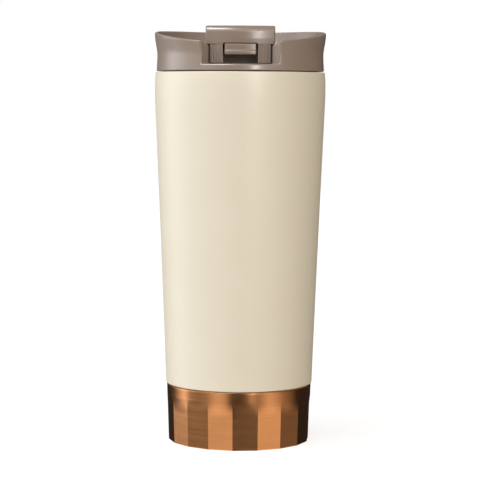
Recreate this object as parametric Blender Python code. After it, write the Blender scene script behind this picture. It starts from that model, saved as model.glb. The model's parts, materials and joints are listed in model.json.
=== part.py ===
"""Insulated tumbler with a push-on flip lid, as separate pieces (Blender 4.5, metres, +Z up).

The tumbler stands on z = 0 with its axis on Z. The drinking side, with the lid's notch, faces -Y.
"""

from math import cos, radians, sin, tau

import bmesh
import bpy
from mathutils import Vector

MM = 0.001
GAP = 0.3 * MM  # between pieces that touch

# Cup: a powder-coated steel shell round a steel liner, standing in a faceted copper-plated cup.
SHELL_FOOT_R = 34.5 * MM
SHELL_SHOULDER_R = 39.9 * MM
SHELL_BELLY_R = 40.0 * MM
SHELL_LIP_R = 39.6 * MM
SHELL_FOOT_Z = 27.5 * MM
SHELL_SHOULDER_Z = 160.0 * MM
SHELL_BELLY_Z = 166.0 * MM
RIM_Z = 173.6 * MM
SHELL_WALL = 0.6 * MM
SOCKET_R = 31.5 * MM  # the shell's narrow lower end, hidden in the base cup
SOCKET_Z = 3.0 * MM
LINER_FLOOR_Z = 9.0 * MM
LINER_FLOOR_R = 28.3 * MM
LINER_TOP_R = 37.0 * MM
LINER_WALL = 0.5 * MM
NECK_R = 37.3 * MM  # bore that the lid's gasket seals in
NECK_Z = 158.0 * MM
FACETS = 18
FACET_START = radians(-4.8)  # first facet edge, from the front towards +X
FACET_FLAT_R = 32.73 * MM  # from the axis to a facet at the bottom
FACET_RISE = 0.45 * MM  # how far a facet leans out up to its run-out
RUN_OUT_LOW_Z = 14.0 * MM
RUN_OUT_TOP_Z = 19.2 * MM
CUP_FOOT_R = 33.35 * MM
CUP_TOP_R = 34.1 * MM
CUP_TOP_Z = 26.9 * MM
CUP_BORE_R = 32.0 * MM
CUP_FLOOR = 0.8 * MM

# Lid: a moulded shell with a saddle-shaped rim, a plug underneath, and a notch at the front.
LID_BOTTOM_Z = 174.0 * MM
LID_FOOT_R = 39.25 * MM
LID_SKIRT_R = 39.1 * MM
LID_SKIRT_Z = 177.4 * MM
LID_WAIST_R = 38.9 * MM
LID_WAIST_Z = 181.2 * MM
LID_FLARE_R = 40.1 * MM
LID_FLARE_Z = 191.0 * MM
RIM_MEAN_Z = 191.075 * MM
RIM_TILT = 3.35 * MM  # back of the rim is higher than its front by twice this
RIM_SADDLE = 1.125 * MM
LIP = 1.85 * MM
DECK_Z = 185.6 * MM
DECK_R = 35.4 * MM
DECK_WALL = 1.8 * MM
LID_BORE_R = 37.3 * MM
SHELF_BORE_R = 34.8 * MM
SHELF_TOP_Z = 175.8 * MM
PLUG_R = 36.3 * MM
PLUG_WALL = 1.6 * MM
PLUG_BOTTOM_Z = 160.0 * MM
GASKET_Z = 166.5 * MM
NOTCH_FLOOR_Z = 177.0 * MM
NOTCH_HALF = 14.5 * MM
NOTCH_MOUTH_Y = -31.3 * MM
NOTCH_BACK_Y = -26.7 * MM
POCKET_HALF = 7.75 * MM
POCKET_BACK_Y = -21.5 * MM
POCKET_WALL = 1.6 * MM
SIP_Y = -13.0 * MM
SIP_R = 4.8 * MM
VENT_Y = -3.0 * MM
VENT_R = 1.3 * MM

# Flip lever, its hinge and its lock button.
PIN_Y = 5.5 * MM
PIN_Z = 188.9 * MM
PIN_R = 1.0 * MM
PIN_BORE_R = 1.15 * MM
PIN_HALF = 15.0 * MM
BOSS_R = 2.6 * MM
BOSS_HALF = 10.9 * MM
KNUCKLE_R = 3.0 * MM
LEVER_HALF = 15.8 * MM
LEVER_WALL = 1.6 * MM
LEVER_FRONT_Y = -31.2 * MM
LEVER_TOP_Z = 194.4 * MM
LEVER_NOSE_R = 3.0 * MM
LEVER_FACE_Z = 186.5 * MM  # foot of the face over the button
LEVER_CHEEK_Z = 186.0 * MM  # foot of the face beside the button
LEVER_RELIEF = 7.6 * MM  # half the width of the raised edge over the button
LEVER_BOW_R = 42.0 * MM  # plan radius of the face
LEVER_BOW_END_Y = -14.0 * MM  # the sides are straight behind this
LEG_IN = 8.0 * MM
LEG_OUT = 13.8 * MM
LEG_DEEP = 1.5 * MM
LEG_SETBACK = 0.25 * MM
LEG_RIBS = 7
RIB_DEEP = 0.25 * MM
BUTTON_HALF = 7.15 * MM
BUTTON_LOW_Z = 181.2 * MM
BUTTON_LIP_Z = 183.1 * MM
BUTTON_BACK_Y = -26.0 * MM
SPRING_Z = 189.4 * MM
SPRING_R = 1.8 * MM
SPRING_WIRE_R = 0.25 * MM
SPRING_TURNS = 4
STEM_BACK_Y = -27.3 * MM
CARRIER_Z = 187.2 * MM
CARRIER_DEEP = 1.4 * MM
CARRIER_HALF = 13.8 * MM
CARRIER_FRONT_Y = -21.0 * MM

FINE, MIDDLE, COARSE = 64, 48, 24  # sides of large, middling and small round pieces
LEVER_STATIONS = 8  # stretches across the bowed pieces
STEEL, COPPER, CREAM = (0.55, 0.54, 0.52), (0.64, 0.32, 0.13), (0.79, 0.72, 0.58)
TAUPE, SILICONE, SPRING_STEEL = (0.27, 0.21, 0.18), (0.16, 0.13, 0.12), (0.50, 0.50, 0.50)


def clear_scene():
    """Removes every object of the open scene."""
    for obj in list(bpy.data.objects):
        bpy.data.objects.remove(obj, do_unlink=True)


def material(name, colour, metallic, roughness):
    """A Principled material."""
    found = bpy.data.materials.new(name)
    found.use_nodes = True
    shader = found.node_tree.nodes["Principled BSDF"]
    shader.inputs["Base Color"].default_value = (*colour, 1.0)
    shader.inputs["Metallic"].default_value = metallic
    shader.inputs["Roughness"].default_value = roughness
    found.diffuse_color = (*colour, 1.0)
    return found


def add_object(name, bm, finish=None, pivot=None):
    """Makes bm an object. With a pivot, an empty, the object hangs on it and has its origin there."""
    bmesh.ops.remove_doubles(bm, verts=bm.verts, dist=1e-7)
    bmesh.ops.recalc_face_normals(bm, faces=bm.faces)
    if pivot is not None:
        bmesh.ops.translate(bm, verts=bm.verts, vec=[-value for value in pivot.location])
    mesh = bpy.data.meshes.new(name)
    bm.to_mesh(mesh)
    bm.free()
    mesh.shade_smooth()
    mesh.set_sharp_from_angle(angle=radians(30))
    obj = bpy.data.objects.new(name, mesh)
    bpy.context.scene.collection.objects.link(obj)
    obj.parent = pivot
    if finish is None:
        obj.hide_render = True
        obj.display_type = "WIRE"
    else:
        mesh.materials.append(finish)
    return obj


def add_pivot(name, place):
    """An empty on a joint's axis."""
    pivot = bpy.data.objects.new(name, None)
    pivot.location = place
    bpy.context.scene.collection.objects.link(pivot)
    return pivot


def combine(obj, operation, other):
    """Adds a Boolean of a hidden helper to obj."""
    modifier = obj.modifiers.new(other.name, "BOOLEAN")
    modifier.operation = operation
    modifier.solver = "EXACT"
    modifier.object = other


def turned(section_at, segments, closed=True, start=0.0):
    """Sections of (r, z) round the Z axis. Angles run from the front, -Y, towards +X."""
    bm = bmesh.new()
    rings = []
    for step in range(segments):
        angle = start + tau * step / segments
        rings.append([bm.verts.new((r * sin(angle), -r * cos(angle), z)) for r, z in section_at(angle)])
    count = len(rings[0])
    for step in range(segments):
        here, after = rings[step], rings[(step + 1) % segments]
        for k in range(count if closed else count - 1):
            m = (k + 1) % count
            bm.faces.new((here[k], after[k], after[m], here[m]))
    return bm


def turned_at(section, segments, centre=(0.0, 0.0)):
    """A plain turned piece whose axis stands at centre. A section from axis to axis has poles."""
    closed = section[0][0] > 0.0
    bm = turned(lambda angle: section, segments, closed)
    bmesh.ops.translate(bm, verts=bm.verts, vec=(*centre, 0.0))
    return bm


def prism(outline, low, high, along="Z"):
    """An outline carried from low to high. Along X, its points are (y, z); along Z, they are (x, y)."""
    bm = bmesh.new()
    if along == "X":
        ends = [[bm.verts.new((level, a, b)) for a, b in outline] for level in (low, high)]
    else:
        ends = [[bm.verts.new((a, b, level)) for a, b in outline] for level in (low, high)]
    for k in range(len(outline)):
        m = (k + 1) % len(outline)
        bm.faces.new((ends[0][k], ends[0][m], ends[1][m], ends[1][k]))
    bm.faces.new(ends[0])
    bm.faces.new(ends[1])
    return bm


def block(low, high):
    """A box between two corners."""
    (x, y, z), (x2, y2, z2) = low, high
    return prism(((x, y), (x2, y), (x2, y2), (x, y2)), z, z2)


def bow(x, y):
    """How far back the lever's curved face moves a place: all of it at the front, none behind the nose."""
    share = min(1.0, max(0.0, (LEVER_BOW_END_Y - y) / (LEVER_BOW_END_Y - LEVER_FRONT_Y)))
    return share * (LEVER_BOW_R - (LEVER_BOW_R ** 2 - x ** 2) ** 0.5)


def bowed(outline, half):
    """An outline of (y, z) carried across the lever from -half to half, following the face's bow."""
    bm = bmesh.new()
    places = [half * (2 * k / LEVER_STATIONS - 1) for k in range(LEVER_STATIONS + 1)]
    rings = [[bm.verts.new((x, y + bow(x, y), z)) for y, z in outline] for x in places]
    for here, after in zip(rings, rings[1:]):
        for k in range(len(outline)):
            m = (k + 1) % len(outline)
            bm.faces.new((here[k], here[m], after[m], after[k]))
    bm.faces.new(rings[0])
    bm.faces.new(rings[-1])
    return bm


def arc(centre, radius, first, last, steps):
    """Points on an arc, angles in degrees from the first axis towards the second."""
    turns = [radians(first + (last - first) * k / steps) for k in range(steps + 1)]
    return [(centre[0] + radius * cos(turn), centre[1] + radius * sin(turn)) for turn in turns]


def circle(centre, radius, sides):
    """A closed outline of a circle, turned by half a side."""
    half = 180.0 / sides
    return arc(centre, radius, half, 360.0 - half, sides - 1)


def mirrored(points):
    """Points at +X followed by their mirror images in reverse, as one outline."""
    return list(points) + [(-x, y) for x, y in reversed(points)]


def shell_radius(z):
    """The shell's outside: a straight taper up to the shoulder, with a slight waist halfway."""
    t = (z - SHELL_FOOT_Z) / (SHELL_SHOULDER_Z - SHELL_FOOT_Z)
    return SHELL_FOOT_R + t * (SHELL_SHOULDER_R - SHELL_FOOT_R) - 0.5 * MM * t * (1.0 - t)


def make_outer_shell(finish):
    """Tapered outer wall, with a curled lip and a narrow socket end for the base cup."""
    tapered = [SHELL_FOOT_Z + 0.8 * MM, 60 * MM, 95 * MM, 130 * MM, SHELL_SHOULDER_Z]
    outside = [(SOCKET_R, SOCKET_Z), (SOCKET_R, 24 * MM), (SOCKET_R + 0.4 * MM, 25.9 * MM)]
    outside += [(33.2 * MM, 27.3 * MM), (SHELL_FOOT_R - 0.25 * MM, SHELL_FOOT_Z)]
    outside += [(shell_radius(z), z) for z in tapered]
    outside += [(SHELL_BELLY_R, SHELL_BELLY_Z), (SHELL_BELLY_R - 0.05 * MM, 170 * MM)]
    outside += [(SHELL_LIP_R, RIM_Z - 0.5 * MM), (SHELL_LIP_R - 0.45 * MM, RIM_Z)]
    inside = [(NECK_R + LINER_WALL + 2 * GAP, RIM_Z), (NECK_R + LINER_WALL + 2 * GAP, RIM_Z - SHELL_WALL)]
    inside += [(r - SHELL_WALL, z) for r, z in reversed(outside[3:-2])]
    inside += [(SOCKET_R - SHELL_WALL, 26 * MM), (SOCKET_R - SHELL_WALL, SOCKET_Z)]
    return add_object("outer_shell", turned_at(outside + inside, FINE), finish)


def make_inner_liner(finish):
    """Liner with a dished floor, a straight bore for the gasket, and its lip in the shell's."""
    def wall(z):
        return LINER_FLOOR_R + (LINER_TOP_R - LINER_FLOOR_R) * (z - LINER_FLOOR_Z) / (NECK_Z - LINER_FLOOR_Z)

    inside = [(0.0, LINER_FLOOR_Z + 1.2 * MM), (14 * MM, LINER_FLOOR_Z + 0.8 * MM), (24 * MM, LINER_FLOOR_Z)]
    inside += [(27.4 * MM, LINER_FLOOR_Z + 1.0 * MM), (wall(15 * MM), 15 * MM), (wall(60 * MM), 60 * MM)]
    inside += [(wall(110 * MM), 110 * MM), (wall(NECK_Z) - 0.5 * MM, NECK_Z - 1.5 * MM)]
    inside += [(NECK_R, NECK_Z), (NECK_R, RIM_Z)]
    outside = [(r + LINER_WALL, z) for r, z in reversed(inside[4:])]
    outside += [(27.7 * MM, LINER_FLOOR_Z + 0.2 * MM), (24 * MM, LINER_FLOOR_Z - 0.7 * MM)]
    outside += [(14 * MM, LINER_FLOOR_Z + 0.1 * MM), (0.0, LINER_FLOOR_Z + 0.5 * MM)]
    return add_object("inner_liner", turned_at(inside + outside, MIDDLE), finish)


def make_outer_bottom(finish):
    """End disc welded into the shell's socket, with a dimple that the flask is evacuated through."""
    rim = SOCKET_R - SHELL_WALL - GAP
    section = [(0.8 * MM, 5.0 * MM), (2.6 * MM, 5.0 * MM), (4.0 * MM, 3.6 * MM), (22 * MM, 3.6 * MM)]
    section += [(26 * MM, 5.2 * MM), (rim - 0.8 * MM, 5.2 * MM), (rim - 0.6 * MM, 1.8 * MM), (rim, 1.8 * MM)]
    section += [(rim, 5.9 * MM), (25.6 * MM, 5.9 * MM), (21.6 * MM, 4.3 * MM), (4.4 * MM, 4.3 * MM)]
    section += [(3.0 * MM, 5.7 * MM), (0.8 * MM, 5.7 * MM)]
    return add_object("outer_bottom", turned_at(section, MIDDLE), finish)


def make_getter(finish):
    """Getter pill under the liner, which takes up the last gas in the vacuum space."""
    section = [(0.0, 6.4 * MM), (3.2 * MM, 6.4 * MM), (3.2 * MM, 7.6 * MM), (0.0, 7.6 * MM)]
    return add_object("getter", turned_at(section, COARSE, (15 * MM, 0.0)), finish)


def make_vacuum_seal(finish):
    """Solder bead in the end disc's dimple."""
    section = [(0.0, 3.0 * MM), (1.4 * MM, 3.2 * MM), (2.2 * MM, 4.0 * MM)]
    section += [(2.2 * MM, 4.6 * MM), (0.0, 4.6 * MM)]
    return add_object("vacuum_seal", turned_at(section, COARSE), finish)


def cup_radius(angle, z):
    """The base cup's outside: a cone cut by flat facets that run out into it below the seam."""
    width = tau / FACETS
    off_centre = (angle - FACET_START) % width - width / 2
    cone = CUP_FOOT_R + (CUP_TOP_R - CUP_FOOT_R) * z / CUP_TOP_Z
    flat = FACET_FLAT_R + FACET_RISE * z / RUN_OUT_LOW_Z
    run_out = max(0.0, (z - RUN_OUT_LOW_Z) / (RUN_OUT_TOP_Z - RUN_OUT_LOW_Z))
    flat += 0.6 * MM * run_out ** 2
    return min(cone, flat / cos(off_centre))


def make_base_cup(finish):
    """Faceted cup that the flask stands in."""
    levels = [0.4 * MM, RUN_OUT_LOW_Z, 16 * MM, 17.6 * MM, RUN_OUT_TOP_Z, CUP_TOP_Z - 0.3 * MM]

    def section_at(angle):
        foot = cup_radius(angle, 0.0) - 0.3 * MM
        outside = [(0.0, 0.0), (foot, 0.0)] + [(cup_radius(angle, z), z) for z in levels]
        outside += [(CUP_TOP_R - 0.25 * MM, CUP_TOP_Z), (CUP_TOP_R - 0.7 * MM, CUP_TOP_Z)]
        return outside + [(CUP_BORE_R, 24.0 * MM), (CUP_BORE_R - 0.1 * MM, CUP_FLOOR), (0.0, CUP_FLOOR)]

    bm = turned(section_at, FACETS * 4, closed=False, start=FACET_START)
    return add_object("base_cup", bm, finish)


def rim_height(angle):
    """Top of the lid's rim: lowest at the front, highest at the back, and raised at the sides."""
    return RIM_MEAN_Z - RIM_TILT * cos(angle) - RIM_SADDLE * cos(2 * angle)


def lid_radius(z):
    """The lid's outside above its waist: a smooth flare."""
    t = min(1.0, (z - LID_WAIST_Z) / (LID_FLARE_Z - LID_WAIST_Z))
    return LID_WAIST_R + (LID_FLARE_R - LID_WAIST_R) * t * t * (3 - 2 * t)


def lid_section(angle):
    """Section of the lid's shell at an angle, from the deck's centre over the rim and back under."""
    top = rim_height(angle)
    edge = lid_radius(top)
    deck = [(0.0, DECK_Z), (DECK_R, DECK_Z), (DECK_R + 1.0 * MM, DECK_Z + 0.15 * (top - DECK_Z))]
    lip = [(edge - LIP, top - 0.8 * MM), (edge - 0.75 * LIP, top - 0.15 * MM), (edge - 0.45 * LIP, top)]
    lip += [(edge - 0.15 * LIP, top - 0.2 * MM), (edge, top - 0.9 * MM)]
    rise = [LID_WAIST_Z + (top - 0.9 * MM - LID_WAIST_Z) * t for t in (0.75, 0.5, 0.25)]
    skirt = [(lid_radius(z), z) for z in rise] + [(LID_WAIST_R, LID_WAIST_Z), (LID_SKIRT_R, LID_SKIRT_Z)]
    skirt += [(LID_FOOT_R, LID_BOTTOM_Z + 0.3 * MM), (LID_FOOT_R - 0.3 * MM, LID_BOTTOM_Z)]
    under = [(SHELF_BORE_R, LID_BOTTOM_Z), (SHELF_BORE_R, SHELF_TOP_Z), (LID_BORE_R, SHELF_TOP_Z)]
    under += [(LID_BORE_R, 181.6 * MM), (DECK_R, DECK_Z - DECK_WALL), (0.0, DECK_Z - DECK_WALL)]
    return deck + lip + skirt + under


def make_lid_shell(finish):
    """Moulded lid top: skirt, saddle rim, deck, hinge boss, and the notch with its pocket."""
    lid = add_object("lid_shell", turned(lid_section, FINE, closed=False), finish)
    slant = POCKET_WALL * 0.7071
    side, back = NOTCH_HALF + POCKET_WALL, NOTCH_BACK_Y + POCKET_WALL
    inner, deep = POCKET_HALF + POCKET_WALL, POCKET_BACK_Y + POCKET_WALL
    reach = LID_WAIST_R - 0.7 * MM
    front = [(reach * sin(turn), -reach * cos(turn)) for turn in map(radians, (0, 10, 20, 29.5))]
    walls = front[1:] + [(side, NOTCH_MOUTH_Y + slant - 0.47 * MM), (side, back)]
    walls += [(inner, back), (inner, deep)]
    casing = add_object("notch_casing", prism(mirrored(walls) + front[:1], 175.0 * MM, 184.6 * MM))
    flare = 12.0 * MM
    space = [(NOTCH_HALF + flare, NOTCH_MOUTH_Y - flare), (NOTCH_HALF, NOTCH_MOUTH_Y)]
    space += [(NOTCH_HALF, NOTCH_BACK_Y), (POCKET_HALF, NOTCH_BACK_Y), (POCKET_HALF, POCKET_BACK_Y)]
    notch = add_object("notch_space", prism(mirrored(space), NOTCH_FLOOR_Z, 200 * MM))
    outline = [(PIN_Y - BOSS_R, DECK_Z - 0.9 * MM), (PIN_Y + BOSS_R, DECK_Z - 0.9 * MM)]
    outline += arc((PIN_Y, PIN_Z), BOSS_R, 0, 180, 8)
    boss = add_object("hinge_boss", prism(outline, -BOSS_HALF, BOSS_HALF, "X"))
    bore = add_object("boss_bore", prism(circle((PIN_Y, PIN_Z), PIN_BORE_R, COARSE), -20 * MM, 20 * MM, "X"))
    tall = (180 * MM, 190 * MM)
    sip = add_object("sip_hole", prism(circle((0.0, SIP_Y), SIP_R, MIDDLE), *tall))
    vent = add_object("vent_hole", prism(circle((0.0, VENT_Y), VENT_R, COARSE), *tall))
    combine(lid, "UNION", casing)
    combine(lid, "UNION", boss)
    for cutter in (notch, bore, sip, vent):
        combine(lid, "DIFFERENCE", cutter)
    return lid


def make_lid_plug(finish):
    """Cup under the lid that goes into the neck, with the sip tube and the vent tube."""
    bore, top, groove = PLUG_R - PLUG_WALL, LID_BOTTOM_Z - GAP, PLUG_R - 1.0 * MM
    floor = PLUG_BOTTOM_Z + PLUG_WALL
    section = [(0.0, PLUG_BOTTOM_Z), (PLUG_R - 0.8 * MM, PLUG_BOTTOM_Z), (PLUG_R, PLUG_BOTTOM_Z + 0.8 * MM)]
    section += [(PLUG_R, GASKET_Z - 1.6 * MM), (groove, GASKET_Z - 1.6 * MM), (groove, GASKET_Z + 1.6 * MM)]
    section += [(PLUG_R, GASKET_Z + 1.6 * MM), (PLUG_R, top), (bore, top), (bore, floor), (0.0, floor)]
    plug = add_object("lid_plug", turned_at(section, MIDDLE), finish)
    tube_top = DECK_Z - DECK_WALL - GAP
    for name, y, radius in (("sip", SIP_Y, SIP_R), ("vent", VENT_Y, VENT_R)):
        outside = radius + 1.3 * MM
        sides = MIDDLE // 2
        solid = prism(circle((0.0, y), outside, sides), PLUG_BOTTOM_Z + 0.6 * MM, tube_top)
        tube = add_object(f"{name}_tube", solid)
        passage = add_object(f"{name}_passage", prism(circle((0.0, y), radius, sides), 150 * MM, 190 * MM))
        combine(plug, "UNION", tube)
        combine(plug, "DIFFERENCE", passage)
    return plug


def make_lid_gasket(finish):
    """Silicone ring in the plug's groove, with two lips that wipe the neck."""
    root, lip = PLUG_R - 1.0 * MM + GAP, NECK_R - GAP
    low, high = GASKET_Z - 1.3 * MM, GASKET_Z + 1.3 * MM
    section = [(root, low), (PLUG_R, low), (lip, low + 0.3 * MM), (PLUG_R + 0.1 * MM, GASKET_Z)]
    section += [(lip, high - 0.3 * MM), (PLUG_R, high), (root, high)]
    return add_object("lid_gasket", turned_at(section, MIDDLE), finish)


def make_hinge_pin(finish):
    """Steel pin through the boss and both of the lever's knuckles."""
    round_bar = prism(circle((PIN_Y, PIN_Z), PIN_R, COARSE), -PIN_HALF, PIN_HALF, "X")
    return add_object("hinge_pin", round_bar, finish)


def lever_outline(inset=0.0):
    """Side view of the lever's outside as (y, z), moved in by inset, from its foot over the top."""
    nose = LEVER_NOSE_R
    points = [(LEVER_FRONT_Y + 0.2 * MM + inset, LEVER_CHEEK_Z), (LEVER_FRONT_Y + inset, 188.6 * MM)]
    points += arc((LEVER_FRONT_Y + nose, LEVER_TOP_Z - nose), nose - inset, 180, 90, 5)
    points += [(-15.0 * MM, LEVER_TOP_Z - 0.3 * MM - inset), (-3.0 * MM, LEVER_TOP_Z - 0.8 * MM - inset)]
    return points + [(PIN_Y, LEVER_TOP_Z - 1.2 * MM - inset)]


def ribbed_leg(side):
    """Plan of a leg as (x, y): a row of fine upright ribs along its front, which follows the bow."""
    step = (LEG_OUT - LEG_IN) / LEG_RIBS
    front = LEVER_FRONT_Y + LEG_SETBACK
    points = [(LEG_IN, front + LEG_DEEP), (LEG_IN, front + RIB_DEEP)]
    for k in range(LEG_RIBS):
        points.append((LEG_IN + (k + 0.5) * step, front))
        points.append((LEG_IN + (k + 1) * step, front + RIB_DEEP))
    points += [(LEG_OUT, front + LEG_DEEP), (0.5 * (LEG_IN + LEG_OUT), front + LEG_DEEP)]
    return [(side * x, y + bow(x, front)) for x, y in points]


def make_lever_cover(finish, pivot):
    """Flip lever: a convex shell with knuckles at its hinge and two ribbed legs in the notch."""
    rear = [(6.9 * MM, 192.4 * MM), (7.9 * MM, 190.7 * MM)] + arc((PIN_Y, PIN_Z), KNUCKLE_R, 10, -90, 7)
    skirt = [(2.6 * MM, 186.1 * MM), (-27.0 * MM, 186.1 * MM)]
    outline = lever_outline() + rear + skirt
    lever = add_object("lever_cover", bowed(outline, LEVER_HALF), finish, pivot)
    bevel = lever.modifiers.new("soft_edges", "BEVEL")
    bevel.width = 0.6 * MM
    bevel.segments = 2
    bevel.limit_method = "ANGLE"
    bevel.angle_limit = radians(60)
    inset = 2.0 * MM
    space = lever_outline(inset)[1:-1] + [(1.5 * MM, 191.3 * MM), (1.5 * MM, 184 * MM)]
    space += [(LEVER_FRONT_Y + inset, 184 * MM)]
    hollow = add_object("lever_hollow", bowed(space, LEVER_HALF - LEVER_WALL), pivot=pivot)
    relief = block((-LEVER_RELIEF, -35 * MM, 184 * MM), (LEVER_RELIEF, -28 * MM, LEVER_FACE_Z))
    relief = add_object("button_relief", relief, pivot=pivot)
    hinge = [(1.0 * MM, 184 * MM), (10 * MM, 184 * MM), (10 * MM, 194.5 * MM), (PIN_Y, 194.5 * MM)]
    hinge += arc((PIN_Y, PIN_Z), KNUCKLE_R, 90, 140, 4) + [(1.0 * MM, 191.0 * MM)]
    gap = BOSS_HALF + GAP
    window = add_object("boss_window", prism(hinge, -gap, gap, "X"), pivot=pivot)
    bore = prism(circle((PIN_Y, PIN_Z), PIN_BORE_R, COARSE), -15.3 * MM, 15.3 * MM, "X")
    combine(lever, "DIFFERENCE", hollow)
    combine(lever, "DIFFERENCE", window)
    combine(lever, "DIFFERENCE", relief)
    combine(lever, "DIFFERENCE", add_object("knuckle_bore", bore, pivot=pivot))
    for side, name in ((1, "right_leg"), (-1, "left_leg")):
        leg = prism(ribbed_leg(side), NOTCH_FLOOR_Z + GAP, LEVER_FACE_Z + 1.0 * MM)
        combine(lever, "UNION", add_object(name, leg, pivot=pivot))
    return lever


def make_stopper_carrier(finish, pivot):
    """Plate clipped under the lever, which holds the stopper and the vent plug and backs the spring."""
    low, high = CARRIER_Z, CARRIER_Z + CARRIER_DEEP
    plate = block((-CARRIER_HALF, CARRIER_FRONT_Y, low), (CARRIER_HALF, 0.6 * MM, high))
    carrier = add_object("stopper_carrier", plate, finish, pivot)
    wall = block((-4 * MM, CARRIER_FRONT_Y + 0.01 * MM, low + 0.4 * MM), (4 * MM, -19.6 * MM, 191.7 * MM))
    combine(carrier, "UNION", add_object("spring_wall", wall, pivot=pivot))
    for name, y, radius in (("stopper_neck_hole", SIP_Y, 2.5 * MM), ("vent_neck_hole", VENT_Y, 1.3 * MM)):
        cutter = prism(circle((0.0, y), radius, COARSE), 180 * MM, 190 * MM)
        hole = add_object(name, cutter, pivot=pivot)
        combine(carrier, "DIFFERENCE", hole)
    return carrier


def make_stopper(finish, pivot):
    """Silicone stopper: a tapered plug for the sip hole, a flange, and a neck through the carrier."""
    section = [(0.0, 184.2 * MM), (4.0 * MM, 184.2 * MM), (4.4 * MM, 185.7 * MM)]
    section += [(6.6 * MM, 185.9 * MM), (6.6 * MM, 186.9 * MM), (2.2 * MM, 186.9 * MM)]
    section += [(2.2 * MM, 188.9 * MM), (3.2 * MM, 188.9 * MM), (2.4 * MM, 190.4 * MM), (0.0, 190.6 * MM)]
    return add_object("stopper", turned_at(section, 32, (0.0, SIP_Y)), finish, pivot)


def make_vent_plug(finish, pivot):
    """Small silicone plug over the vent hole."""
    section = [(0.0, 184.8 * MM), (0.6 * MM, 184.8 * MM), (0.8 * MM, 185.8 * MM)]
    section += [(2.0 * MM, 185.9 * MM), (2.0 * MM, 186.9 * MM), (1.0 * MM, 186.9 * MM)]
    section += [(1.0 * MM, 188.9 * MM), (1.7 * MM, 188.9 * MM), (1.2 * MM, 189.9 * MM), (0.0, 190.0 * MM)]
    return add_object("vent_plug", turned_at(section, COARSE, (0.0, VENT_Y)), finish, pivot)


def make_lock_button(finish, pivot):
    """Sprung lock button between the legs: a finger lip, a body with side lugs, and a stem."""
    front = LEVER_FRONT_Y + 0.1 * MM
    top = LEVER_FACE_Z - GAP
    outline = [(front - 0.9 * MM, BUTTON_LOW_Z + 0.5 * MM), (front - 0.5 * MM, BUTTON_LOW_Z)]
    outline += [(BUTTON_BACK_Y, BUTTON_LOW_Z), (BUTTON_BACK_Y, top), (front + 0.5 * MM, top)]
    outline += [(front, top - 0.5 * MM), (front, BUTTON_LIP_Z + 0.4 * MM)]
    outline += [(front - 0.9 * MM, BUTTON_LIP_Z - 0.5 * MM)]
    button = add_object("lock_button", bowed(outline, BUTTON_HALF), finish, pivot)
    stem = block((-4.5 * MM, -28.9 * MM, top - 1.0 * MM), (4.5 * MM, STEM_BACK_Y, 191.6 * MM))
    lugs = block((-7.45 * MM, -27.4 * MM, 182.4 * MM), (7.45 * MM, -26.1 * MM, 183.8 * MM))
    combine(button, "UNION", add_object("button_stem", stem, pivot=pivot))
    combine(button, "UNION", add_object("button_lugs", lugs, pivot=pivot))
    return button


def make_lock_spring(finish, pivot):
    """Return spring between the button's stem and the carrier: a round wire along a helix about Y."""
    start, end = STEM_BACK_Y + GAP + SPRING_WIRE_R, CARRIER_FRONT_Y - GAP - SPRING_WIRE_R
    steps = SPRING_TURNS * 12
    curve = bpy.data.curves.new("lock_spring", "CURVE")
    curve.dimensions = "3D"
    curve.bevel_depth = SPRING_WIRE_R
    curve.bevel_resolution = 1
    curve.use_fill_caps = True
    spline = curve.splines.new("POLY")
    spline.points.add(steps)
    for k, point in enumerate(spline.points):
        turn = tau * SPRING_TURNS * k / steps
        y = start + (end - start) * k / steps
        place = Vector((SPRING_R * cos(turn), y, SPRING_Z + SPRING_R * sin(turn)))
        point.co = (*(place - pivot.location), 1.0)
    curve.materials.append(finish)
    spring = bpy.data.objects.new("lock_spring", curve)
    bpy.context.scene.collection.objects.link(spring)
    spring.parent = pivot
    return spring


def main():
    """Builds the tumbler: cup, lid, lever and button."""
    clear_scene()
    steel = material("brushed_stainless", STEEL, 1.0, 0.35)
    copper = material("copper_plated_steel", COPPER, 1.0, 0.30)
    cream = material("cream_powder_coat", CREAM, 0.0, 0.45)
    taupe = material("taupe_moulded_plastic", TAUPE, 0.0, 0.40)
    silicone = material("grey_silicone", SILICONE, 0.0, 0.60)
    wire = material("spring_wire", SPRING_STEEL, 1.0, 0.30)
    solder = material("seal_solder", STEEL, 1.0, 0.50)

    make_outer_shell(cream)
    make_inner_liner(steel)
    make_outer_bottom(steel)
    make_getter(wire)
    make_vacuum_seal(solder)
    make_base_cup(copper)

    make_lid_shell(taupe)
    make_lid_plug(taupe)
    make_lid_gasket(silicone)
    make_hinge_pin(wire)

    lever_pivot = add_pivot("lever_pivot", (0.0, PIN_Y, PIN_Z))
    make_lever_cover(taupe, lever_pivot)
    make_stopper_carrier(taupe, lever_pivot)
    make_stopper(silicone, lever_pivot)
    make_vent_plug(silicone, lever_pivot)
    make_lock_spring(wire, lever_pivot)

    button_slide = add_pivot("button_slide", (0.0, LEVER_FRONT_Y, SPRING_Z))
    make_lock_button(taupe, button_slide)


main()
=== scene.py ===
"""Looks of the insulated tumbler: finished surfaces, materials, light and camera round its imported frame.

Shapes are worked out in millimetres in the row's frame and stored in metres. The tumbler stands on
z = 0 with its axis on Z, and its notch faces -Y. Angles round it run from -Y towards +X.
"""

from __future__ import annotations

import json
import logging
import math
from collections.abc import Callable
from dataclasses import dataclass, field
from enum import Enum

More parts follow.
